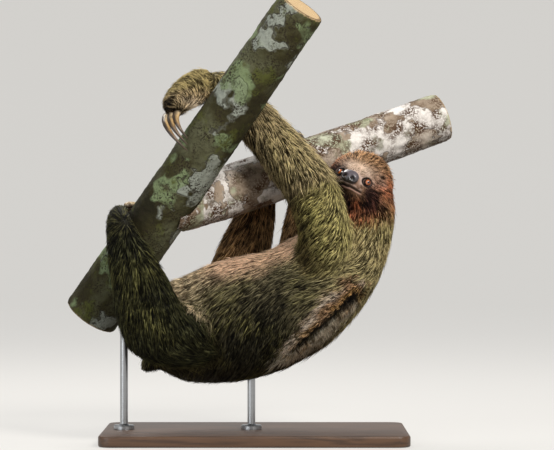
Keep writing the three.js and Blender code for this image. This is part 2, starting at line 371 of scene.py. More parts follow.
skinPlan = {
    "voxel": 0.003,
    "swell": 0.0005,        # closes the thin cuts between nodes
    "toeBall": 0.0072,      # flesh round the root of a claw
    "bodyRounds": 24,       # how far the facets are smoothed away
    "tailRounds": 70,
    "headRounds": 6,
    "faceDepth": 0.0012,    # how thick the short hair of the face lies over the skin
    "faceReach": 0.037,     # the face is cut finer within this of its middle
}
# each part's coat: how thick it lies and how long it is, in millimetres, and how dense it grows
coatTable = {
    "head": (6, 21, 1.7), "neck": (7.5, 31, 1.1), "chest": (8, 37, 0.95), "belly": (7.5, 36, 0.95),
    "rump": (8, 38, 0.95), "tail": (5, 40, 1.2), "upper_arm": (7.5, 35, 1.05),
    "forearm": (7, 33, 1.1), "hand": (4, 19, 1.8), "thigh": (8, 38, 0.95),
    "shin": (7.5, 36, 1.0), "foot": (4.5, 21, 1.6),
}
partOf = {name: name.replace("_left", "").replace("_right", "") for name in fleshNodes}
perNode = np.array([coatTable[partOf[name]] for name in fleshNodes])
coatDepth, coatLength, coatDensity = perNode.T.copy()


def clawNames(limb):
    return [f"claw_{limb}_{i}" for i in (1, 2, 3)]


def clawRoot(name):
    # the end of a claw that is nearest to its hand or foot
    limb = "_".join(name.split("_")[1:3])
    places = points(nodes[name].data)
    away = lengths(places - boxMiddle(limb))
    return places[away < away.min() + 0.004].mean(axis=0)


def swollenCopy(name):
    mesh = mergedMesh(name)
    movePoints(mesh, points(mesh) + normals(mesh) * skinPlan["swell"])
    return mesh


def regionWeights(mesh, rounds):
    # how much each vertex belongs to each node of flesh
    corners, faces, owners = [], [], []
    for index, name in enumerate(fleshNodes):
        source = nodes[name].data
        start = len(corners)
        corners.extend(v.co.copy() for v in source.vertices)
        faces.extend([start + i for i in p.vertices] for p in source.polygons)
        owners.extend([index] * len(source.polygons))
    finder = BVHTree.FromPolygons(corners, faces)
    weights = np.zeros((len(mesh.vertices), len(fleshNodes)))
    for vertex in mesh.vertices:
        weights[vertex.index, owners[finder.find_nearest(vertex.co)[2]]] = 1
    return relax(mesh, weights, rounds)


def furriness(local):
    # 0 on the bare and short-haired face, 1 on the crown, the cheeks and the neck
    _, left, up = local.T
    return ease(np.hypot(left * 0.92, up - 1), *facePlan["furFrom"])


def nearTail(places):
    return 1 - ease(lengths(places - boxMiddle("tail")), 0.03, 0.06)


def makeSkin():
    plan = skinPlan
    parts = [swollenCopy(name) for name in fleshNodes + ["nose", "eye_left", "eye_right"]]
    for name in [claw for limb in clawedLimbs for claw in clawNames(limb)]:
        parts.append(ballMesh(name + "Root", clawRoot(name), plan["toeBall"], 8))
    skin = link("skin", joined("skin", parts))
    mesh = remeshed(skin, plan["voxel"])
    weights = regionWeights(mesh, 10)
    headShare = relax(mesh, (weights[:, [0]] > 0.5).astype(float), 8)
    start = points(mesh)
    gentle = relax(mesh, start, plan["headRounds"])
    smooth = relax(mesh, start, plan["bodyRounds"])
    smooth += (relax(mesh, smooth, plan["tailRounds"]) - smooth) * nearTail(smooth)[:, None]
    movePoints(mesh, gentle * headShare + smooth * (1 - headShare))
    depth = weights @ coatDepth / 1000
    face = (1 - furriness(onHead(points(mesh)))) * headShare[:, 0]
    depth = depth * (1 - face) + plan["faceDepth"] * face
    movePoints(mesh, points(mesh) - normals(mesh) * relax(mesh, depth[:, None], 10))
    mesh = remeshed(skin, plan["voxel"])
    movePoints(mesh, relax(mesh, points(mesh), 4))
    return skin


def cutFiner(mesh, middle, reach):
    form = bmesh.new()
    form.from_mesh(mesh)
    near = {v for v in form.verts if (v.co - middle).length < reach}
    edges = [e for e in form.edges if e.verts[0] in near and e.verts[1] in near]
    bmesh.ops.subdivide_edges(form, edges=edges, cuts=1, use_grid_fill=True)
    bmesh.ops.triangulate(form, faces=[f for f in form.faces if len(f.verts) > 4])
    form.to_mesh(mesh)
    form.free()


# face: lids, mouth and cheeks, in the head's own millimetres (ahead, left, up)
facePlan = {
    "middle": (10, 0, -6),
    "eyeOpening": (5.5, 4.5),    # half width and half height of the opening
    "lidRadius": 7.1,            # how far the lids stand from the middle of the eye
    "lidReach": 2.15,            # where the lids run out, in openings
    "lidDip": 2.9,               # how far they sink at the opening's edge
    "gaze": (0.76, 0.65, 0.02),  # the left eye's; the right eye's is its mirror image
    "mouthUp": -21.6,
    "mouthCurl": 1.5,
    "mouthHalf": 26,
    "mouthDeep": 1.5,
    "mouthWide": 1.2,
    "lipFull": 0.8,
    # eye sockets and brows: how far out and up, how flat, how full and how wide
    "mounds": [(23, -1, 1.1, -2.6, 9), (20, 12, 1.2, 2.2, 8)],
    "blend": (30, 42),           # where the worked face runs out into the head
    "furFrom": (26, 50),         # where the coat starts, and where it is full
}


def gazeAxes(side):
    # the eye's axis, and the directions along and across its opening, on the head
    sign = 1 if side == "left" else -1
    ahead, left, up = facePlan["gaze"]
    gaze = unit(np.array([ahead, left * sign, up]))
    along = unit(np.cross([0, 0, 1], gaze))
    return gaze, along, np.cross(gaze, along)


def aroundEye(local, side, shift=0.0):
    # the way from an eye, its length, how many openings out, how far in front and how far above
    gaze, along, across = gazeAxes(side)
    halfWide, halfHigh = facePlan["eyeOpening"]
    away = local - onHead(eyeMiddles[side]) + shift
    ring = np.hypot(away @ along / halfWide, away @ across / halfHigh)
    return away, lengths(away), ring, away @ gaze, away @ across


def mouthLine(left):
    # the mouth's height at each distance from the middle, and how it fades at its corners
    plan = facePlan
    along = np.clip(np.abs(left) / plan["mouthHalf"], 0, 1)
    height = plan["mouthUp"] + plan["mouthCurl"] * along ** 2 - 0.8 * bump(left, 0, 4)
    return height, 1 - ease(along, 0.82, 1.0)


def shapeLids(local, side):
    away, distance, ring, front, _ = aroundEye(local, side)
    hugging = facePlan["lidRadius"] - facePlan["lidDip"] * (1 - ease(ring, 0.86, 1.1))
    share = (1 - ease(ring, 1.25, facePlan["lidReach"])) * ((front > 0) & (distance < 22))
    wanted = distance * (1 - share) + hugging * share
    return onHead(eyeMiddles[side]) + away * (wanted / np.maximum(distance, 1e-6))[:, None]


def shapeFace(mesh):
    plan = facePlan
    middle = Vector(fromHead(plan["middle"]))
    for share in (1.0, 0.93):
        cutFiner(mesh, middle, skinPlan["faceReach"] * share)
    places = points(mesh)
    near = 1 - ease(lengths(onHead(places) - plan["middle"]), *plan["blend"])
    places = places + (relax(mesh, places, 14) - places) * near[:, None]
    local = onHead(places)
    ahead, left, up = local.T
    push = np.zeros(len(local))
    for side in (1, -1):
        for out, high, flat, full, wide in plan["mounds"]:
            push += full * bump(np.hypot(left - side * out, (up - high) * flat), 0, wide)
    mouthUp, fade = mouthLine(left)
    push -= plan["mouthDeep"] * bump(up, mouthUp, plan["mouthWide"]) * fade
    push += plan["lipFull"] * (bump(up, mouthUp + 3.4, 1.7) + bump(up, mouthUp - 2.8, 1.4)) * fade
    outward = normals(mesh) @ headAxes.T
    local = local + outward * (push * (near * ease(ahead, -10, -2)))[:, None]
    for side in sides:
        local = shapeLids(local, side)
    movePoints(mesh, fromHead(local))


def unwrap(piece):
    bpy.context.view_layer.objects.active = piece
    piece.select_set(True)
    piece.data.uv_layers.new(name="OFBake")
    bpy.ops.object.mode_set(mode="EDIT")
    bpy.ops.mesh.select_all(action="SELECT")
    bpy.ops.uv.smart_project(angle_limit=math.radians(66), island_margin=0.001)
    bpy.ops.object.mode_set(mode="OBJECT")
    piece.select_set(False)


skin = makeSkin()
shapeFace(skin.data)
print("skin:", len(skin.data.polygons), "faces")
unwrap(skin)
print("skin unwrapped")


# coat colours

tones = {name: np.array(rgb(code)) for name, code in {
    "olive": "837a4c", "tan": "8e8060", "handTan": "a08d6b", "legDarkAndShade": "1f1f12",
    "footDarkAndShade": "2e2c1a", "farBrown": "735b3e", "flank": "474130", "lowFlankAndShade": "1c1a13",
    "belly": "c6a488", "bellyPale": "dcc7a4", "cream": "f2e6d0", "blotch": "ead9c6",
    "backBrown": "84694f", "orange": "93703f", "stripe": "17100a", "crown": "ad8863",
    "brow": "ecd0b8", "temple": "b96a45", "mask": "38211b", "throat": "20120d",
    "ruff": "94533a", "rim": "cbb2a6", "muzzle": "7a5d52", "lip": "c09a8c", "black": "120c0a",
    "chin": "6e3c24", "cheek": "c9937a", "handGreen": "857a48", "handDark": "2a2116",
    "shoulder": "5c4f38", "nape": "a89b6f", "armUnderShade": "3d3320",
}.items()}

partTones = {
    "head": "crown", "neck": "tan", "chest": "flank", "belly": "flank", "rump": "flank",
    "tail": "flank", "upper_arm_left": "olive", "forearm_left": "tan", "hand_left": "handTan",
    # the near thigh, shin and foot are dark brown, partly their own colour and partly painted shade
    "thigh_left": "legDarkAndShade", "shin_left": "legDarkAndShade", "foot_left": "footDarkAndShade",
    "upper_arm_right": "tan",    # the rest of the right side is farBrown
}
# the dark line down the back and the pale patch round it, in millimetres
backPlan = {
    "line": [(174, -56, 240), (150, -64, 217), (127, -68, 198), (85, -69, 162), (64, -62, 143)],
    "lineHalf": 5.0,
    "above": 40,       # how far the patch reaches on either side of the line
    "below": 34,
    "ragged": 20,      # how far its edge wanders
}
trunkArc = np.array([-0.020, 0.0, 0.430])   # the trunk bends round this


def painted(colour, share, *layers):
    # each layer is a tone and how much of it covers each place, within a share of the body
    for tone, amount in layers:
        cover = np.clip(amount * share, 0, 1)[:, None]
        colour = colour * (1 - cover) + tones[tone] * cover
    return colour


def softNoise(places, size, seed=0):
    # smooth random values from 0 to 1, over lumps of the given size in metres
    shift = Vector((seed * 3.1, seed * 7.7, seed * 1.3))
    values = [noise.noise(Vector(place) / size + shift) for place in places]
    return np.clip(np.array(values) * 0.9 + 0.5, 0, 1)


def fromLine(places, line):
    # from the nearest point of a broken line to each place, and how far along the line that is
    line = np.array(line, dtype=float)
    offset = np.full_like(places, 1e9)
    along = np.zeros(len(places))
    for index, (start, end) in enumerate(zip(line[:-1], line[1:])):
        step = end - start
        t = np.clip((places - start) @ step / (step @ step), 0, 1)
        away = places - start - t[:, None] * step
        closer = lengths(away) < lengths(offset)
        offset = np.where(closer[:, None], away, offset)
        along = np.where(closer, (index + t) / (len(line) - 1), along)
    return offset, along


def backPatch(places):
    # the pale patch, 1 inside it; then the dark line: how far off in millimetres, which way,
    # how far along, and on which side
    stops = np.array(backPlan["line"]) / 1000
    onSkin = [places[lengths(places - stop).argmin()] for stop in stops]
    offset, along = fromLine(places, onSkin)
    away = lengths(offset) * 1000
    below = ease(offset @ np.array([0, 1, -0.5]), -0.002, 0.002)
    reach = backPlan["above"] * (1 - below) * (1 - 0.45 * along) + backPlan["below"] * below
    wavy = away + backPlan["ragged"] * (softNoise(places, 0.014, 3) - 0.5)
    return 1 - ease(wavy / reach, 0.65, 1.0), away, unit(offset), along, below


def trunkColour(colour, places, across, share, back):
    patch, away, _, along, below = back
    facing = (across * unit(trunkArc - places)).sum(axis=1)
    # the lower flank made dark, partly its own colour and partly painted shade
    low = ease(-facing, -0.35, 0.5) * (1 - 0.8 * ease(places[:, 0], 0.03, 0.10))
    pale = ease(facing, -0.1, 0.6) * ease(-places[:, 0], 0.04, 0.11)
    fringe = bump(away, backPlan["below"] + 6, 7) * below * ease(along, 0.2, 0.45)
    above = patch * (1 - below)
    blotches = bump(away, 31 - 20 * along, 7) * ease(softNoise(places, 0.02, 8), 0.4, 0.65)
    tawny = bump(away, backPlan["lineHalf"] + 4, 4) * ease(softNoise(places, 0.02, 5), 0.1, 0.7)
    half = backPlan["lineHalf"] * (1.15 - 0.6 * along) * ease(1 - along, -0.1, 0.15)
    return painted(
        colour, share, ("lowFlankAndShade", low), ("belly", ease(facing, 0.25, 0.85)),
        ("bellyPale", pale), ("stripe", 0.9 * fringe),
        ("cream", patch * below * ease(along, 0, 0.1)), ("backBrown", above),
        ("blotch", above * blotches), ("orange", 0.8 * tawny * patch),
        ("stripe", 1 - ease(away / half, 1.0, 1.25)))


def handColour(colour, places, knuckles, share):
    # green on top, dark over the knuckles, pale underneath towards the branch
    ahead, _, up = ((places - knuckles) * 1000).T
    near = np.hypot(ahead + 10, up * 0.8) + 8 * (softNoise(places, 0.008, 5) - 0.5)
    pale = ease(ahead, 8, 24) * (1 - ease(up, 4, 20))
    return painted(colour, share, ("handGreen", 0.6 * ease(up, 22, 34)),
                   ("handDark", 1.2 * (1 - ease(near, 8, 26))), ("blotch", 0.45 * pale))


def headColour(colour, local, share):
    ahead, left, up = local.T
    side = np.abs(left)
    front = ease(ahead, -26, -8)
    lumps = softNoise(np.column_stack([ahead, left * 1.6, up]) / 1000, 0.009, 11)
    outer = ease(np.hypot(side, np.maximum(up - 10, 0)), 28, 42)
    jaw = spot(side, up, (40, -30), (20, 20)) + spot(side, up, (35, -12), (9, 8))
    nosePad = np.hypot(left / 14.6, (up + 7.4) / 11.2)
    colour = painted(
        colour, share, ("temple", 0.8 * spot(side, up, (46, 8), (17, 22))),
        ("cheek", 0.9 * spot(side, up, (35, 5), (8, 12)) * (left > 0)),
        ("ruff", ease(-up, 30, 50)), ("mask", 0.75 * ease(lumps, 0.48, 0.66) * outer),
        ("mask", 1.15 * jaw), ("throat", 1.2 * spot(side, up, (0, -42), (34, 18)) * front),
        # painted shadow: the far side below the mouth made near black
        ("throat", 1.3 * spot(left, up, (-16, -29), (18, 11)) * front),
        ("chin", 0.9 * spot(left, up, (21, -34), (7, 6)) * front))
    return painted(
        colour, front * share, ("brow", 1.15 * spot(side, up, (8, 15), (26, 12))),
        ("rim", 0.6 * spot(side, up, (20, 5), (5, 12))),
        ("muzzle", 1.1 * spot(side, up, (0, -12), (20, 11))),
        # painted shadow: the far side of the muzzle beside the mouth made near black
        ("throat", 1.4 * spot(left, up, (-15, -18), (15, 6))),
        ("rim", 0.9 * bump(nosePad, 1.22, 0.22) * ease(up, -16, -4)),
        # painted shade: the far side round the eye made darker
        ("mask", 1.5 * spot(left, up, (-32, 1), (15, 15))))


def faceMarks(colour, local, share):
    # lids, lips and rims, on the skin alone
    ahead, left, up = local.T
    for side in sides:
        _, distance, ring, front, above = aroundEye(local, side)
        seen = ease(front, -4, -1) * (distance < 16) * share
        colour = painted(colour, seen, ("rim", 0.6 * bump(ring, 2.2, 0.25) * ease(above, -3, 4)),
                         ("black", 1 - ease(ring, 1.75, 2.05)),
                         ("lip", 0.25 * bump(ring, 1.16, 0.10)))
    mouthUp, fade = mouthLine(left)
    # the pale lower lip fades out on the far side, which is left in painted shade
    lower = bump(up, mouthUp - 2.6, 1.2) * fade * ease(left, -14, -4)
    return painted(colour, share * ease(ahead, -10, 0), ("lip", 0.6 * lower),
                   ("rim", 0.5 * bump(up, mouthUp + 3.4, 1.9) * fade),
                   ("black", bump(up, mouthUp, 1.6) * fade))


# the coat over the body

# how it changes on the short-haired face and on the pale patch of the back, in metres
shortCoat = {
    "faceLength": 0.0058,
    "faceHeight": 0.0014,
    "faceDensity": 3.2,      # as a share of the tufts per square metre
    "patchLength": 0.010,
    "patchDensity": 1.3,
    "patchShare": 0.85,      # how much of the patch's coat has that length
}
# which way the coat lies; where no node is named, it spreads from a whorl or round the knuckles
farLie = (-0.3, 0, -0.95)
coatLie = {
    "neck": (-0.45, 0, -0.85), "chest": (-0.75, 0, -0.65), "belly": (-0.3, 0, -1),
    "rump": (-0.2, 0, -1), "tail": farLie, "upper_arm_left": (-0.72, 0, -0.66),
    "forearm_left": (0.35, 0, -0.93), "thigh_left": (0.5, 0, -0.8),
    "upper_arm_right": (-0.3, 0, -0.9), "forearm_right": (-0.3, 0, -0.9),
    "hand_right": (-0.2, 0, -0.9), "thigh_right": farLie, "shin_right": farLie,
    "foot_right": farLie,
}
whorls = {"ankle": np.array([-0.196, -0.118, 0.324]), "muzzle": fromHead((22, 0, -8))}


def tangent(vectors, across):
    return unit(vectors - across * (vectors * across).sum(axis=1, keepdims=True))


def lieOfCoat(places, across, weights, knuckles):
    lie = np.zeros_like(places)
    for index, name in enumerate(fleshNodes):
        if name == "head":
            flow = unit(places - whorls["muzzle"]) + np.array([0, 0, -0.25])
        elif name in ("shin_left", "foot_left"):
            away = places - whorls["ankle"]
            flow = away / np.maximum(lengths(away), 0.06)[:, None]
            flow = 0.7 * flow + np.array([0, 0, -0.75])
        elif name == "hand_left":
            away = places - knuckles
            flow = np.column_stack([-away[:, 2], 0 * away[:, 1], away[:, 0]])
        else:
            flow = np.tile(np.array(coatLie[name], dtype=float), (len(places), 1))
        if name in ("belly", "rump", "chest"):
            top = ease(places[:, 2], 0.19, 0.28)
            flow[:, 0] -= 1.1 * top
            flow[:, 1] += 0.5 * np.sign(places[:, 1]) * top * ease(np.abs(places[:, 1]), 0, 0.03)
        if name == "thigh_left":
            flow += ease(-places[:, [2]], -0.20, -0.14) * np.array([0.6, 0, 0.35])
        lie += unit(flow) * weights[:, [index]]
    return tangent(lie, across)


def coatGaps(local, head):
    # no tufts on the nose, the lids, the eyes or the mouth
    ahead, left, up = local.T
    near = head > 0.5
    grown = np.ones(len(local))
    for side in sides:
        outward = 3.2 * unit(onHead(eyeMiddles[side]) - onHead(whorls["muzzle"]))
        _, distance, ring, front, _ = aroundEye(local, side, outward)
        seen = near & (front > -2) & (distance < 20)
        grown = np.where(seen, grown * ease(ring, 1.75, 2.15), grown)
    nosePad = np.hypot(left / 15, (up + 7.4) / 11.6)
    grown = np.where(near & (ahead > 4), grown * ease(nosePad, 1.05, 1.35), grown)
    mouthUp, fade = mouthLine(left)
    lips = bump(up, mouthUp - 0.5, 4.2) * fade
    return np.where(near & (ahead > -8), grown * (1 - ease(lips, 0.15, 0.5)), grown)


# the coat is made in these pieces, each with its slot and the nodes whose skin it grows on
coatPieces = {
    "coat_head": ("coat_head", "head"),
    "coat_neck_tail": ("coat_trunk", "neck", "tail"),
    "coat_chest": ("coat_trunk", "chest"),
    "coat_belly_left": ("coat_trunk", "belly"),
    "coat_belly_right": ("coat_trunk",),    # the half of the belly on that side
    "coat_rump": ("coat_trunk", "rump"),
    "coat_upper_arm_left": ("coat_limbs", "upper_arm_left"),
    "coat_forearm_left": ("coat_limbs", "forearm_left", "hand_left"),
    "coat_arm_right": ("coat_limbs", *[part + "_right" for part in limbs["arm"]]),
    "coat_leg_left": ("coat_limbs", *[part + "_left" for part in limbs["leg"]]),
    "coat_leg_right": ("coat_limbs", *[part + "_right" for part in limbs["leg"]]),
}


def storeRegions(mesh, weights):
    # the coat piece that each face belongs to
    pieceOf = {node: index for index, names in enumerate(coatPieces.values()) for node in names[1:]}
    owner = np.array([pieceOf[name] for name in fleshNodes])[weights.argmax(axis=1)]
    right = list(coatPieces).index("coat_belly_right")
    owner[(owner == pieceOf["belly"]) & (points(mesh)[:, 1] > 0)] = right
    firstCorners = [face.vertices[0] for face in mesh.polygons]
    layer = mesh.attributes.new("coatPiece", "INT", "FACE")
    layer.data.foreach_set("value", owner[firstCorners].astype(np.int32))


def prepareCoat(mesh):
    places, across = points(mesh), normals(mesh)
    weights = regionWeights(mesh, 14)
    local = onHead(places)
    knuckles = np.mean([clawRoot(name) for name in clawNames("hand_left")], axis=0)
    along, _, up = places.T

    def shareOf(*names):
        return weights[:, [fleshNodes.index(name) for name in names]].sum(axis=1)

    head = np.clip(shareOf("head") * 1.2, 0, 1)
    trunk = shareOf("chest", "belly", "rump", "tail")
    upperArm, forearm = shareOf("upper_arm_left"), shareOf("forearm_left")
    hand = shareOf("hand_left", "forearm_left")
    fur = furriness(local) * head + (1 - head)
    back = backPatch(places)
    patch, away = back[0] * trunk, back[1]

    # the lie, parted along the dark line
    parted = (patch * ease(away, 1, backPlan["lineHalf"]))[:, None]
    run = unit(np.array(backPlan["line"][-1]) - np.array(backPlan["line"][0]))
    combed = unit(back[2] + run * (1.6 - 1.2 * back[4][:, None]))
    lie = relax(mesh, lieOfCoat(places, across, weights, knuckles), 20)
    store(mesh, "lie", tangent(lie * (1 - parted) + combed * parted, across))
    store(mesh, "skinNormal", across)

    # the colours
    colour = sum(weights[:, [i]] * tones[partTones.get(name, "farBrown")]
                 for i, name in enumerate(fleshNodes))
    # painted light: the body, neck and arm near the head made paler olive-tan, as if sunlit
    colour = painted(colour, 1 - head, ("nape", 0.6 * ease(along, 0.09, 0.17)))
    colour = trunkColour(colour, places, across, trunk, back)
    colour = headColour(colour, local, head)
    shoulder = upperArm * (1 - ease(up, 0.28, 0.38)) * (1 - ease(along, 0.08, 0.14))
    # painted shade: the underside of the near arm made darker, and further down less green
    shadedUnderside = ease(-across @ unit(np.array([1, 0.3, 0.8])), 0.1, 0.8) * (upperArm + forearm)
    colour = painted(colour, 1, ("shoulder", 0.8 * shoulder), ("armUnderShade", 0.75 * shadedUnderside))
    fromHeadMiddle = lengths(places - boxMiddle("head")) * 1000
    colour = painted(colour, shareOf("neck"), ("ruff", 1 - ease(fromHeadMiddle, 62, 80)))
    colour = handColour(colour, places, knuckles, hand * (1 - ease(along, -0.075, -0.045)))
    store(mesh, "coatColour", colour, "FLOAT_COLOR")
    # painted shade: the skin under the coat is the coat's colour darkened, so the gaps between tufts
    # look deep; the bare face keeps more of its colour
    bare = ((1 - fur) * head)[:, None]
    under = faceMarks(colour * (0.27 + 0.5 * bare), local, head)
    store(mesh, "skinColour", under, "FLOAT_COLOR")
    clearOfHand = ease(lengths(places - knuckles), 0.03, 0.06)
    algae = shareOf("upper_arm_left", "neck") + 0.5 * forearm * clearOfHand + 0.3 * trunk
    algae += 0.22 * shareOf("thigh_left", "shin_left")
    algae *= (1 - 0.6 * shoulder) * (1 - 0.6 * shadedUnderside)
    lumps = ease(softNoise(places, 0.06, 9), 0.35, 0.7)
    store(mesh, "algae", np.clip(algae, 0, 1) * (0.08 + 0.55 * lumps))

    # the sizes
    plan = shortCoat
    length = weights @ coatLength / 1000
    length = length * fur + plan["faceLength"] * (1 - fur)
    hair = plan["patchLength"] * (0.4 + 0.6 * ease(away, 2, 8))
    length = length * (1 - plan["patchShare"] * patch) + hair * plan["patchShare"] * patch
    height = weights @ coatDepth / 1000 * fur + plan["faceHeight"] * (1 - fur)
    height *= 1 + 0.35 * fur * head
    height *= 1 + 0.5 * hand
    density = weights @ coatDensity + plan["patchDensity"] * patch
    density = density * fur + plan["faceDensity"] * (1 - fur)
    store(mesh, "tuftLength", length)
    store(mesh, "tuftHeight", height)
    store(mesh, "tuftDensity", density * coatGaps(local, head))
    storeRegions(mesh, weights)


# tufts: a few closed, tapered, bent locks, scattered over the skin by geometry nodes

tuftPlan = {
    "shapes": 8,
    "rings": [(0, 0.7), (0.46, 1.0)],   # place along the tuft, half width
    "bend": 7.5,            # how far the tip strays sideways, in half widths
    "wave": 0.8,
    "rise": 1.6,            # how soon the tuft lies flat
    "sunk": 0.12,           # how far its root is under the skin
    "thick": 0.07,
    "seed": 7,
}
# what the coat's node tree takes
growthPlan = {
    "Tufts per Square Metre": 275000.0,
    "Width": 0.0195,        # half width as a share of the length
    "Spread": 0.22,         # how far the tufts turn away from the lie
    "Hug": 0.85,            # how closely they follow the skin
    "Lock Scale": 270.0,    # neighbours closer than a lock, 1 / this in metres, look alike
    "Patch": 0.003,         # a tuft's own square on the unwrapped skin
}


def tuftMesh(name, random):
    plan = tuftPlan
    bend = plan["bend"] * random.uniform(-1, 1)
    wave = random.uniform(-plan["wave"], plan["wave"])
    form = bmesh.new()
    rows, spaces = [], []
    for t, half in plan["rings"]:
        middle = bend * t * t + wave * math.sin(t * math.pi * 1.5)
        height = 1 - (1 - t) ** plan["rise"] - (plan["sunk"] if t == 0 else 0)
        rows.append([form.verts.new((t, middle - half, height)),
                     form.verts.new((t, middle + half, height)),
                     form.verts.new((t, middle, height + plan["thick"]))])
        spaces += [(t, 0, 0), (t, 1, 0), (t, 0.5, 0)]
    tip = form.verts.new((1, bend + wave * math.sin(math.pi * 1.5), 1))
    spaces.append((1, 0.5, 0))
    form.faces.new(rows[0])
    for low, high in zip(rows[:-1], rows[1:]):
        for i in range(3):
            j = (i + 1) % 3
            form.faces.new((low[i], low[j], high[j]))
            form.faces.new((low[i], high[j], high[i]))
    for i in range(3):
        form.faces.new((rows[-1][i], rows[-1][(i + 1) % 3], tip))
    bmesh.ops.recalc_face_normals(form, faces=form.faces)
    mesh = meshFrom(form, name)
    spaces = np.array(spaces, dtype=float)
    store(mesh, "alongTuft", spaces[:, 0])
    store(mesh, "tuftRise", points(mesh)[:, 2])
    store(mesh, "tuftSpace", spaces)
    return mesh


def makeTuftShapes():
    random = np.random.default_rng(tuftPlan["seed"])
    shapes = bpy.data.collections.new("tuftShapes")
    scene.collection.children.link(shapes)
    for index in range(tuftPlan["shapes"]):
        name = f"tuft{index}"
        shapes.objects.link(bpy.data.objects.new(name, tuftMesh(name, random)))
    return shapes


def coatTree(shapes):
    tree = bpy.data.node_groups.new("coat", "GeometryNodeTree")
    inputs = {"Skin": "Geometry", "Piece": "Int", "Seed": "Int", "Material": "Material"}
    inputs.update((name, "Float") for name in growthPlan)
    for name, kind in inputs.items():
        tree.interface.new_socket(name, in_out="INPUT", socket_type="NodeSocket" + kind)
    tree.interface.new_socket("Coat", in_out="OUTPUT", socket_type="NodeSocketGeometry")
    start = tree.nodes.new("NodeGroupInput")
    given = {socket.name: Wire(tree, socket) for socket in start.outputs}

    def geometry(kind, values=None, output=0, **settings):
        return addNode(tree, "GeometryNode" + kind, values, output, **settings)

    def named(name, kind="FLOAT"):
        values = {"Name": name}
        return geometry("InputNamedAttribute", values, "Attribute", data_type=kind)

    def vector(name):
        return named(name, "FLOAT_VECTOR")

    def place():
        return geometry("InputPosition")

    def chance(low, high, seed):
        values = {2: low, 3: high, 8: seed}
        return addNode(tree, "FunctionNodeRandomValue", values, 1, data_type="FLOAT")

    def keep(mesh, name, value, kind="FLOAT", domain="POINT"):
        values = {"Geometry": mesh, "Name": name, "Value": value}
        return geometry("StoreNamedAttribute", values, data_type=kind, domain=domain)

    # where the tufts grow
    here = addNode(tree, "FunctionNodeCompare", {2: named("coatPiece", "INT"), 3: given["Piece"]},
                   data_type="INT", operation="EQUAL")
    density = named("tuftDensity") * given["Tufts per Square Metre"]
    scatter = {"Mesh": given["Skin"], "Selection": here, "Density": density, "Seed": given["Seed"]}
    places = geometry("DistributePointsOnFaces", scatter, "Points")

    # what each tuft has of its own
    length = named("tuftLength") * chance(0.6, 1.2, 1)
    lock = speckle(place(), given["Lock Scale"], 1.0)
    lock = addNode(tree, "ShaderNodeMapRange", {0: lock, 1: 0.41, 2: 0.59})
    lift = chance(0, 1, 2) * 0.5 + lock * 0.5
    stray = chance(0, 1, 9) ** 20.0
    height = named("tuftHeight") * (lift * 0.7 + (stray * 0.6 + 0.3))
    # painted light and shade: tufts that stand higher, in lighter locks, are lighter, and low ones
    # darker, with a random share
    places = keep(places, "tuftShade", lift * 0.75 + chance(0, 1, 3) * 0.25)
    places = keep(places, "tuftTint", chance(0, 1, 4))
    places = keep(places, "tuftReach", height)
    places = keep(places, "rootPlace", vector("OFBake"), "FLOAT_VECTOR")

    # how it is turned and scaled
    swing = addNode(tree, "FunctionNodeRandomValue", {0: (-1, -1, -1), 1: (1, 1, 1), 8: 5},
                    data_type="FLOAT_VECTOR")
    toward = vectorMath("ADD", vector("lie"), scaled(swing, given["Spread"]))
    turn = addNode(tree, "FunctionNodeAxesToRotation",
                   {"Primary Axis": vector("skinNormal"), "Secondary Axis": toward},
                   primary_axis="Z", secondary_axis="X")
    width = length * given["Width"] * chance(0.45, 1.4, 6) * (1.0 - stray * 0.5)
    size = addNode(tree, "ShaderNodeCombineXYZ", {"X": length, "Y": width, "Z": height})
    locks = geometry("CollectionInfo", {"Collection": shapes, "Separate Children": True,
                                        "Reset Children": True})
    which = addNode(tree, "FunctionNodeRandomValue", {4: 0, 5: tuftPlan["shapes"] - 1, 8: 8}, 2,
                    data_type="INT")
    copies = geometry("InstanceOnPoints", {
        "Points": places, "Instance": locks, "Pick Instance": True,
        "Instance Index": which, "Rotation": turn, "Scale": size})
    coat = geometry("RealizeInstances", {0: copies})

    # laid along the skin
    now = place()
    foot = geometry("Proximity", {0: given["Skin"], "Sample Position": now}, "Position",
                    target_element="FACES")
    out = geometry("SampleNearestSurface", {
        "Mesh": given["Skin"], "Value": vector("skinNormal"), "Sample Position": now},
        data_type="FLOAT_VECTOR")
    reach = named("tuftRise") * named("tuftReach")
    laid = vectorMath("ADD", foot, scaled(vectorMath("NORMALIZE", out), reach))
    share = 1.0 - named("alongTuft") * named("tuftTint") * (1.0 - given["Hug"])
    between = addNode(tree, "ShaderNodeMix", {0: share, 4: now, 5: laid}, 1, data_type="VECTOR")
    coat = geometry("SetPosition", {"Geometry": coat, "Position": between})

    # each tuft's patch of the unwrapped skin
    patch = vectorMath("ADD", scaled(vector("rootPlace"), 1.0 - given["Patch"]),
                       scaled(vector("tuftSpace"), given["Patch"]))
    coat = keep(coat, "OFBake", patch, "FLOAT2", "CORNER")
    coat = geometry("SetShadeSmooth", {0: coat})
    coat = geometry("SetMaterial", {0: coat, "Material": given["Material"]})
    tree.links.new(coat.socket, tree.nodes.new("NodeGroupOutput").inputs[0])
    return tree


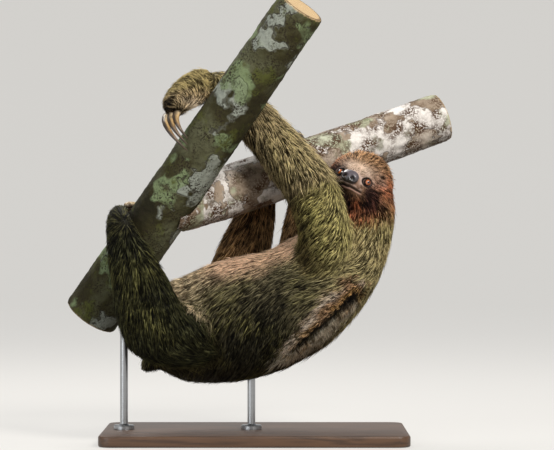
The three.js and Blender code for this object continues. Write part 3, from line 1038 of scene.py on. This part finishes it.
def makeCoat(skin, material):
    shapes = makeTuftShapes()
    tree = coatTree(shapes)
    wanted = ("coatColour", "algae", "alongTuft", "tuftShade", "tuftTint", "OFBake")
    for index, (name, (slot, *_)) in enumerate(coatPieces.items()):
        piece = link(name, skin.data.copy())
        growth = piece.modifiers.new("coat", "NODES")
        growth.node_group = tree
        settings = {"Piece": index, "Seed": tuftPlan["seed"] + index, "Material": material,
                    **growthPlan}
        for socket in tree.interface.items_tree:
            if socket.name in settings:
                growth[socket.identifier] = settings[socket.name]
        mesh = settled(piece)
        for layer in [item.name for item in mesh.attributes if not item.is_required]:
            if layer not in wanted and not layer.startswith((".", "sharp", "material")):
                mesh.attributes.remove(mesh.attributes[layer])
        print(name + ":", len(mesh.polygons), "faces")
        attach(piece, "root")
    for shape in list(shapes.objects):
        bpy.data.objects.remove(shape)
    bpy.data.collections.remove(shapes)


# the painted light and shade on the tufts: clumps that darken some, how strongly low tufts are shaded
# and high ones lit, the darkest level, and a warm tint on the shaded ones
coatLook = {
    "clumps": ((120.0, 0.5), (45.0, 0.42)),    # how fine, and how much they darken
    "contrast": 5.0,
    "gain": 14.0,
    "deepest": 0.04,
    "green": "8a844b",       # the algae in the coat
    "warmth": [0.92, 0.74, 0.5, 1],
}


def coatMaterial():
    look = coatLook
    material, tree, surface, where = newMaterial("coat", Roughness=0.6, Specular_IOR_Level=0.12)
    tint = attribute(tree, "tuftTint") ** 1.4
    green = calc("MULTIPLY", attribute(tree, "algae"), tint, clamp=True)
    colour = mixed(green, attribute(tree, "coatColour", "Color"), look["green"])
    # painted light and shade: each tuft's own shade, made uneven by clumps, then turned into painted
    # light on high tufts and painted shade on low ones
    shade = attribute(tree, "tuftShade")
    for scale, share in look["clumps"]:
        shade = shade + (speckle(where, scale, 2.0) - 0.5) * share
    shade = calc("MAXIMUM", shade, 0.05)
    light = shade ** look["contrast"] * look["gain"] + look["deepest"]
    # pale hair gets less of the painted shade between the locks, as light goes through it
    paleness = addNode(tree, "ShaderNodeRGBToBW", {"Color": colour})
    light = light + paleness ** 2.0 * 0.4
    light = calc("MINIMUM", light, calc("DIVIDE", 0.95, paleness + 0.14))
    # painted shade deep in the coat: each tuft darker towards its root
    colour = scaled(colour, light * (attribute(tree, "alongTuft") * 0.6 + 0.55))
    # the most shaded tufts are tinted warmer
    feed(surface, "Base Color",
         mixed(ramp(shade, (0.2, 1), (0.6, 0)), colour, look["warmth"], "MULTIPLY"))
    return material


def skinMaterial():
    material, tree, surface, where = newMaterial("skin", Roughness=0.75, Specular_IOR_Level=0.12)
    fine = speckle(where, 900.0, 4.0, 0.6)
    colour = scaled(attribute(tree, "skinColour", "Color"), fine * 0.9 + 0.55)
    colourAndRelief(surface, colour, fine, 0.5, 0.0006)
    return material


prepareCoat(skin.data)
finished(skin, skinMaterial(), "coat_trunk", *fleshNodes)
makeCoat(skin, coatMaterial())
print("coat grown")


# eyes

eyePlan = {
    "radius": 0.0058,
    "corneaOut": 0.0005,
    "pupil": 20,     # degrees from the middle of the iris
    "iris": 53,
}


def makeEye(side, material):
    name = "eyeball_" + side
    middle = eyeMiddles[side]
    eye = link(name, ballMesh(name, middle, eyePlan["radius"], 28))
    away = points(eye.data) - middle
    gaze = gazeAxes(side)[0] @ headAxes
    angle = np.degrees(np.arccos(np.clip(unit(away) @ gaze, -1, 1)))
    dome = (1 - ease(angle, 15, 48))[:, None]
    movePoints(eye.data, middle + away * (1 + dome * eyePlan["corneaOut"] / eyePlan["radius"]))
    store(eye.data, "gazeAngle", angle)
    finished(eye, material, "eye", "eye_" + side)


def eyeMaterial():
    material, tree, surface, where = newMaterial("eye", Roughness=0.06, Coat_Weight=1.0,
                                                 Coat_Roughness=0.02)
    pupil, iris = eyePlan["pupil"] / 90, eyePlan["iris"] / 90
    colour = ramp(attribute(tree, "gazeAngle") * (1 / 90),
                  (pupil * 0.86, "050302"), (pupil * 1.12, "7a3510"), (iris * 0.66, "bf6420"),
                  (iris * 0.88, "94481a"), (iris, "3a1c0e"), (iris * 1.12, "120b09"))
    feed(surface, "Base Color", scaled(colour, speckle(where, 1500.0) * 0.9 + 0.55))
    return material


eyeFinish = eyeMaterial()
for side in sides:
    makeEye(side, eyeFinish)


# nose: a bare, wrinkled pad with two nostrils

nosePlan = {
    "middle": (19.5, 0.5, -7.4),    # on the head, in millimetres
    "half": (8.0, 14.6, 11.2),
    "boxy": 2.4,                     # 2 is a ball, and more is squarer
    "nostril": (7.2, -10.0),         # left of the middle, and height on the head
    "nostrilReach": 4.0,
    "nostrilDeep": 5.0,
    # painted shade: the lower half of the pad is made black
    "lowerHalf": (6, 13),            # from here down it turns black
}


def makeNose():
    plan = nosePlan
    form = bmesh.new()
    bmesh.ops.create_icosphere(form, subdivisions=5, radius=1)
    mesh = meshFrom(form, "nosePad")
    ball, boxy = points(mesh), plan["boxy"]
    ball = ball / np.maximum((np.abs(ball) ** boxy).sum(axis=1) ** (1 / boxy), 1e-6)[:, None]
    local = ball * plan["half"] + plan["middle"]
    ahead, left, up = local.T
    pit = np.zeros(len(local))
    reach = plan["nostrilReach"]
    sideways, height = plan["nostril"]
    for side in (1, -1):
        away = np.hypot((left - side * sideways) / 1.15, up - height + 0.25 * (left * side - sideways))
        pit = np.maximum(pit, 1 - ease(away, reach * 0.35, reach))
        local[:, 0] += 0.7 * (bump(away, reach * 1.35, 1.1) * (ahead > plan["middle"][0]))
    pit *= ahead > plan["middle"][0]
    local[:, 0] -= pit * plan["nostrilDeep"] + 0.9 * bump(left, 0, 1.3) * ease(-up, 8, 16)
    movePoints(mesh, fromHead(local))
    store(mesh, "nostril", pit)
    store(mesh, "shadedUnderside", ease(-up, *plan["lowerHalf"]))
    finished(link("nose_pad", mesh), noseMaterial(), "nose_skin", "nose")


def noseMaterial():
    material, tree, surface, where = newMaterial("noseSkin", Roughness=0.4, Coat_Weight=0.8,
                                                 Coat_Roughness=0.2, Specular_IOR_Level=0.5)
    colour = mixed(speckle(where, 160.0, 2.0), "352d31", "5c5259")
    # painted shade: the lower half of the pad made near black
    colour = mixed(attribute(tree, "shadedUnderside") * 0.85, colour, "0f0c0d")
    # painted shade: the nostril pits made near black
    nostril = attribute(tree, "nostril")
    feed(surface, "Coat Weight", 0.8 - nostril * 0.8)
    colourAndRelief(surface, mixed(nostril, colour, "050404"), speckle(where, 1400.0), 0.18, 0.0004)
    return material


makeNose()
print("eyes and nose made")


# claws

clawPlan = {
    "fuller": 0.0017,    # how much thicker the root is than the CAD node
    "smoothing": 2,
}


def makeClaws(limb, material):
    parts = []
    for name in clawNames(limb):
        mesh = mergedMesh(name)
        places, across = points(mesh), normals(mesh)
        root = clawRoot(name)
        tip = places[lengths(places - root).argmax()]
        chord = unit(tip - root)
        span = (places - root) @ chord / np.linalg.norm(tip - root)
        mean = (places - root).mean(axis=0)
        bow = unit(mean - chord * (mean @ chord))      # the way that the claw curves out
        fuller = (clawPlan["fuller"] * (1 - ease(span, 0.45, 1.0)))[:, None]
        movePoints(mesh, places + across * fuller)
        store(mesh, "alongClaw", np.clip(span, 0, 1))
        # painted shade: the back and the underside of each claw, seen edge-on at its outline, are
        # marked for darkening
        store(mesh, "clawEdge", np.abs(across @ bow))  # 1 on the back and the underside
        parts.append(mesh)
    claws = link("claws_" + limb, joined("claws_" + limb, parts))
    smoothing = claws.modifiers.new("smoothing", "SUBSURF")
    smoothing.levels = smoothing.render_levels = clawPlan["smoothing"]
    settled(claws)
    finished(claws, material, "claw_horn", *clawNames(limb))


def hornMaterial():
    material, tree, surface, where = newMaterial("horn", Roughness=0.45, Coat_Weight=0.1,
                                                 Coat_Roughness=0.3)
    place = attribute(tree, "alongClaw") + speckle(where, 120.0) * 0.25
    colour = ramp(place, (0.1, "5a442e"), (0.24, "e6cfa8"), (0.5, "cda972"), (0.75, "8d6c44"),
                  (1.0, "43362b"))
    streaks = speckle(where, 420.0, 4.0, 0.6, 1.5)
    colour = mixed(ramp(streaks, (0.5, 0), (0.7, 0.7)), colour, "6b4f32")
    # painted shade: the claw made dark on its back and underside
    colour = mixed(ramp(attribute(tree, "clawEdge"), (0.3, 0), (0.75, 1)), colour, "2e2013")
    dull = crisp(speckle(where, 70.0, 1.0), 0.54, 0.06)
    colourAndRelief(surface, mixed(dull * 0.6, colour, "574a3c"), streaks, 0.35, 0.0003)
    return material


horn = hornMaterial()
for limb in clawedLimbs:
    makeClaws(limb, horn)
print("claws made")


# branches

barkPlan = {
    "voxel": 0.0024,
    "lumps": 0.0016,      # how far the bark stands out and in
    "ridges": 0.0007,
    "rings": 14,
}
# each branch's middle line in millimetres, its sawn ends (which point, and radius) and its bark
branches = {
    "front": {
        "line": [(75, -142, 702), (-36, -87, 544), (-144, -35, 389), (-272, 25, 205)],
        "sawn": [(0, 39.5), (-1, 47)],
        # the front branch's tones are darker and greener than the back's: partly its own colour,
        # partly painted shade on the same bark
        "dark": "1c1908", "mid": "353119", "pale": "56563f", "crust": 0.40, "crustTone": "8e9287",
        "patchScale": 16.0, "lichen": "76845f", "moss": 0.85, "specks": 0.47,
        "speckTone": "231c10",
    },
    "back": {
        "line": [(-147, -40, 380), (-66, 26, 403), (75, 60, 453), (194, 114, 494),
                 (317, 148, 539)],
        "sawn": [(-1, 42)],
        "dark": "6f5b47", "mid": "9c8c7a", "pale": "c2b6a9", "crust": 0.51, "crustTone": "dcd6d0",
        "patchScale": 24.0, "lichen": "a9ad92", "moss": 0.6, "specks": 0.54,
        "speckTone": "4a3423",
    },
}


def alongBranch(line, places):
    # distance along the branch, and across it in two directions
    offset, along = fromLine(places, line)
    run = unit(line[-1] - line[0])
    side = unit(np.cross(run, [0, 0, 1]))
    return np.column_stack([along * np.linalg.norm(line[-1] - line[0]), offset @ side,
                            offset @ np.cross(side, run)])


def barkRelief(places, grain):
    broad = softNoise(places, 0.045, 2) - 0.5
    small = softNoise(grain * np.array([0.35, 1, 1]), 0.009, 4) - 0.5
    tiny = softNoise(places, 0.006, 6) - 0.5
    return barkPlan["lumps"] * (broad + 0.5 * tiny) + barkPlan["ridges"] * small


def makeBranch(which, branch):
    node = "perch_" + which
    piece = link("branch_" + which, mergedMesh(node))
    mesh = remeshed(piece, barkPlan["voxel"])
    movePoints(mesh, relax(mesh, points(mesh), 5))
    places, across = points(mesh), normals(mesh)
    line = np.array(branch["line"]) / 1000
    grain = alongBranch(line, places)
    sawn, ring = np.zeros(len(places)), np.zeros(len(places))
    for end, radius in branch["sawn"]:
        outward = unit(line[end] - line[1 if end == 0 else -2])
        depth = (places - line[end]) @ outward
        radial = places - line[end] - np.outer(depth, outward)
        radial = lengths(radial) * 1000 / radius
        flat = (np.abs(depth) < 0.006) & (across @ outward > 0.6)
        sawn = np.maximum(sawn, flat * (1 - ease(radial, 0.94, 1.0)))
        ring = np.where(flat, radial, ring)
        places = places - np.outer((depth - 0.0006) * sawn * flat, outward)
    movePoints(mesh, places + across * (barkRelief(places, grain) * (1 - sawn))[:, None])
    store(mesh, "barkSpace", grain)
    store(mesh, "sawn", sawn)
    store(mesh, "sawRing", ring)
    finished(piece, barkMaterial("bark" + which.title(), branch), "bark", node)
    print(piece.name + ":", len(mesh.polygons), "faces")


def barkMaterial(name, bark):
    material, tree, surface, where = newMaterial(name, Roughness=0.86, Specular_IOR_Level=0.22)
    space = attribute(tree, "barkSpace", "Vector")
    bent = vectorMath("ADD", space, scaled(speckle(space, 30.0, output="Color"), 0.02))
    broad = speckle(space, 11.0, 4.0, 0.6)
    colour = ramp(broad, (0.32, bark["dark"]), (0.5, bark["mid"]), (0.66, bark["pale"]))
    patches = speckle(bent, bark["patchScale"], 3.0, 0.55)
    colour = mixed(crisp(patches, 1 - bark["crust"]), colour, bark["crustTone"])
    lichen = crisp(speckle(vectorMath("ADD", bent, (3.1, 1.7, 0.4)), 17.0, 2.0), 0.60)
    colour = mixed(lichen * 0.85, colour, bark["lichen"])
    moss = crisp(speckle(where, 24.0, 5.0, 0.7), 0.60, 0.05)
    colour = mixed(moss * bark["moss"], colour, "4c4f22")
    outline = ramp(calc("ABSOLUTE", patches - (1 - bark["crust"])), (0.0, 1), (0.014, 0))
    crack = outline * crisp(broad, 0.44, 0.12)
    colour = mixed(crack * 0.85, colour, "2b241b")
    fine = speckle(where, 330.0, 4.0, 0.65)
    specks = crisp(fine, 1 - bark["specks"], 0.04) * crisp(speckle(where, 40.0), 0.47, 0.12)
    colour = scaled(mixed(specks, colour, bark["speckTone"]), fine * 0.5 + 0.76)
    ring = attribute(tree, "sawRing")
    rings = calc("SINE", (ring + broad * 0.12) * (2 * math.pi * barkPlan["rings"]))
    wood = mixed(rings * 0.35 + 0.5, "a98a63", "cdb48c")
    wood = mixed(crisp(ring, 0.86, 0.03), wood, "6e5a42")
    height = fine + crack * -1.2 + crisp(patches, 0.55) * 0.4
    colourAndRelief(surface, mixed(attribute(tree, "sawn"), colour, wood), height, 0.7, 0.0012)
    return material


for which, branch in branches.items():
    makeBranch(which, branch)
print("branches made")


# display stand

standPlan = {
    "corner": 0.022,
    "edge": 0.003,
    "rodRadius": 0.0065,
    "collarRadius": 0.017,
    "collarHigh": 0.007,
    "intoCoat": 0.004,    # how far the back rod reaches through the fur to the skin
}


def makeBoard():
    plan = standPlan
    low, high = boxCorners("stand_base")
    form = bmesh.new()
    outline = []
    for turn, (x, y) in enumerate([(high[0], high[1]), (low[0], high[1]),
                                   (low[0], low[1]), (high[0], low[1])]):
        cx = x - math.copysign(plan["corner"], x)
        cy = y - math.copysign(plan["corner"], y)
        for step in range(9):
            angle = math.radians(90 * turn + 90 * step / 8)
            outline.append(form.verts.new((cx + plan["corner"] * math.cos(angle),
                                           cy + plan["corner"] * math.sin(angle), low[2])))
    bottom = form.faces.new(outline)
    side = bmesh.ops.extrude_face_region(form, geom=[bottom])
    raised = [item for item in side["geom"] if isinstance(item, bmesh.types.BMVert)]
    bmesh.ops.translate(form, verts=raised, vec=(0, 0, high[2] - low[2]))
    bmesh.ops.recalc_face_normals(form, faces=form.faces)
    board = link("stand_board", meshFrom(form, "board"))
    bevel = board.modifiers.new("edge", "BEVEL")
    bevel.width = plan["edge"]
    bevel.segments = 4
    bevel.angle_limit = math.radians(40)
    settled(board)
    finished(board, walnut(), "base_wood", "stand_base")


def walnut():
    material, tree, surface, where = newMaterial("walnut", Roughness=0.42)
    sway = speckle(vectorMath("MULTIPLY", where, (1.6, 14.0, 14.0)), 1.6, 3.0, 0.5, 0.6)
    grain = speckle(vectorMath("MULTIPLY", where, (8.0, 260.0, 260.0)), 1.0, 4.0, 0.6)
    colour = mixed(calc("SINE", sway * 60.0) * 0.3 + 0.5, "3b281b", "5f4430")
    pores = crisp(grain, 0.62, 0.05)
    colourAndRelief(surface, mixed(pores * 0.55, colour, "241710"), grain, 0.25, 0.0003)
    return material


def makeRod(node, extra, material):
    plan = standPlan
    low, high = boxCorners(node)
    x, y = (low[0] + high[0]) / 2, (low[1] + high[1]) / 2
    top = high[2] + extra
    foot, collar = low[2], low[2] + plan["collarHigh"]
    wide, thin = plan["collarRadius"], plan["rodRadius"]
    profile = [(0, foot), (wide, foot), (wide, collar - 0.0015), (wide - 0.0015, collar),
               (thin + 0.002, collar), (thin, collar + 0.002), (thin, top - 0.0008),
               (thin - 0.0008, top), (0, top)]
    rod = link(node + "_turned", turnedMesh(node + "Turned", profile, 48, x, y))
    finished(rod, material, "rod_steel", node)
    rod.data.set_sharp_from_angle(angle=math.radians(35))


def brushedSteel():
    material, tree, surface, where = newMaterial("brushedSteel", Metallic=1.0, Roughness=0.3)
    brushed = speckle(vectorMath("MULTIPLY", where, (60.0, 60.0, 2600.0)), 1.0)
    colourAndRelief(surface, mixed(brushed, "8f9194", "b4b6b8"), brushed, 0.2, 0.0002)
    return material


makeBoard()
steel = brushedSteel()
makeRod("stand_rod_perch", 0, steel)
makeRod("stand_rod_back", standPlan["intoCoat"], steel)
print("stand made")


# studio and camera

studioPlan = {
    "floorTone": "dcdad6",
    "lit": "7a7875",          # the part of it that the lamps light, and shadows darken
    "glow": 0.8,
    "reach": 7.6,             # the floor is round, and rises to a low wall
    "bend": 1.6,
    "high": 2.2,
    "under": 0.0004,          # how far it lies below the stand
    "skyTone": (0.94, 0.97, 1.0, 1.0),
    "sky": 0.36,
    "bounce": "77746f",       # what the floor throws back on the object
}
lampPlan = {
    # place, size, power, colour
    "key": ((1.4, -2.4, 2.4), 1.0, 135, (1.0, 0.97, 0.92)),
    "fill": ((-2.2, -2.3, 1.0), 2.0, 38, (0.93, 0.97, 1.0)),
    "rim": ((-0.6, 1.3, 2.3), 1.2, 42, (1.0, 0.98, 0.95)),
}
cameraPlan = {"place": (0.0363, -4.0, 0.35475), "lens": 157.5, "sensor": 36.0}


def makeStage():
    plan = studioPlan
    flat = plan["reach"] - plan["bend"]
    profile = [(0, 0), (0.3, 0), (flat * 0.5, 0), (flat, 0)]
    for angle in [math.pi / 2 * step / 12 for step in range(1, 13)]:
        profile.append((flat + plan["bend"] * math.sin(angle), plan["bend"] * (1 - math.cos(angle))))
    profile.append((plan["reach"], plan["high"]))
    profile = [(radius, height - plan["under"]) for radius, height in profile]
    backdrop = link("backdrop", turnedMesh("backdrop", profile, 64))
    material, tree, surface, where = newMaterial("paper", Roughness=0.9,
                                                 Emission_Color=colourOf(plan["floorTone"]))
    rays = tree.nodes.new("ShaderNodeLightPath").outputs
    seen, glossy, through = [Wire(tree, rays[f"Is {kind} Ray"])
                             for kind in ("Camera", "Glossy", "Transmission")]
    direct = calc("MAXIMUM", calc("MAXIMUM", seen, glossy), through)
    feed(surface, "Base Color", mixed(direct, plan["bounce"], plan["lit"]))
    feed(surface, "Emission Strength", direct * plan["glow"])
    backdrop.data.materials.append(material)
    backdrop.data.shade_smooth()


def makeLamp(name, place, size, power, colour):
    light = bpy.data.lights.new(name, "AREA")
    light.energy, light.size, light.color = power, size, colour
    lamp = link(name, light)
    lamp.location = place
    lamp.rotation_euler = (Vector(place) - Vector((0, 0, 0.35))).to_track_quat("Z", "Y").to_euler()


makeStage()
for name, settings in lampPlan.items():
    makeLamp(name, *settings)
world = bpy.data.worlds.new("studio")
scene.world = world
world.use_nodes = True
sky = world.node_tree.nodes["Background"]
sky.inputs["Color"].default_value = studioPlan["skyTone"]
sky.inputs["Strength"].default_value = studioPlan["sky"]

view = bpy.data.cameras.new("camera")
view.lens, view.sensor_width = cameraPlan["lens"], cameraPlan["sensor"]
camera = link("camera", view)
camera.location = cameraPlan["place"]
camera.rotation_euler = (math.pi / 2, 0, 0)
scene.camera = camera
scene.view_settings.view_transform = "Standard"
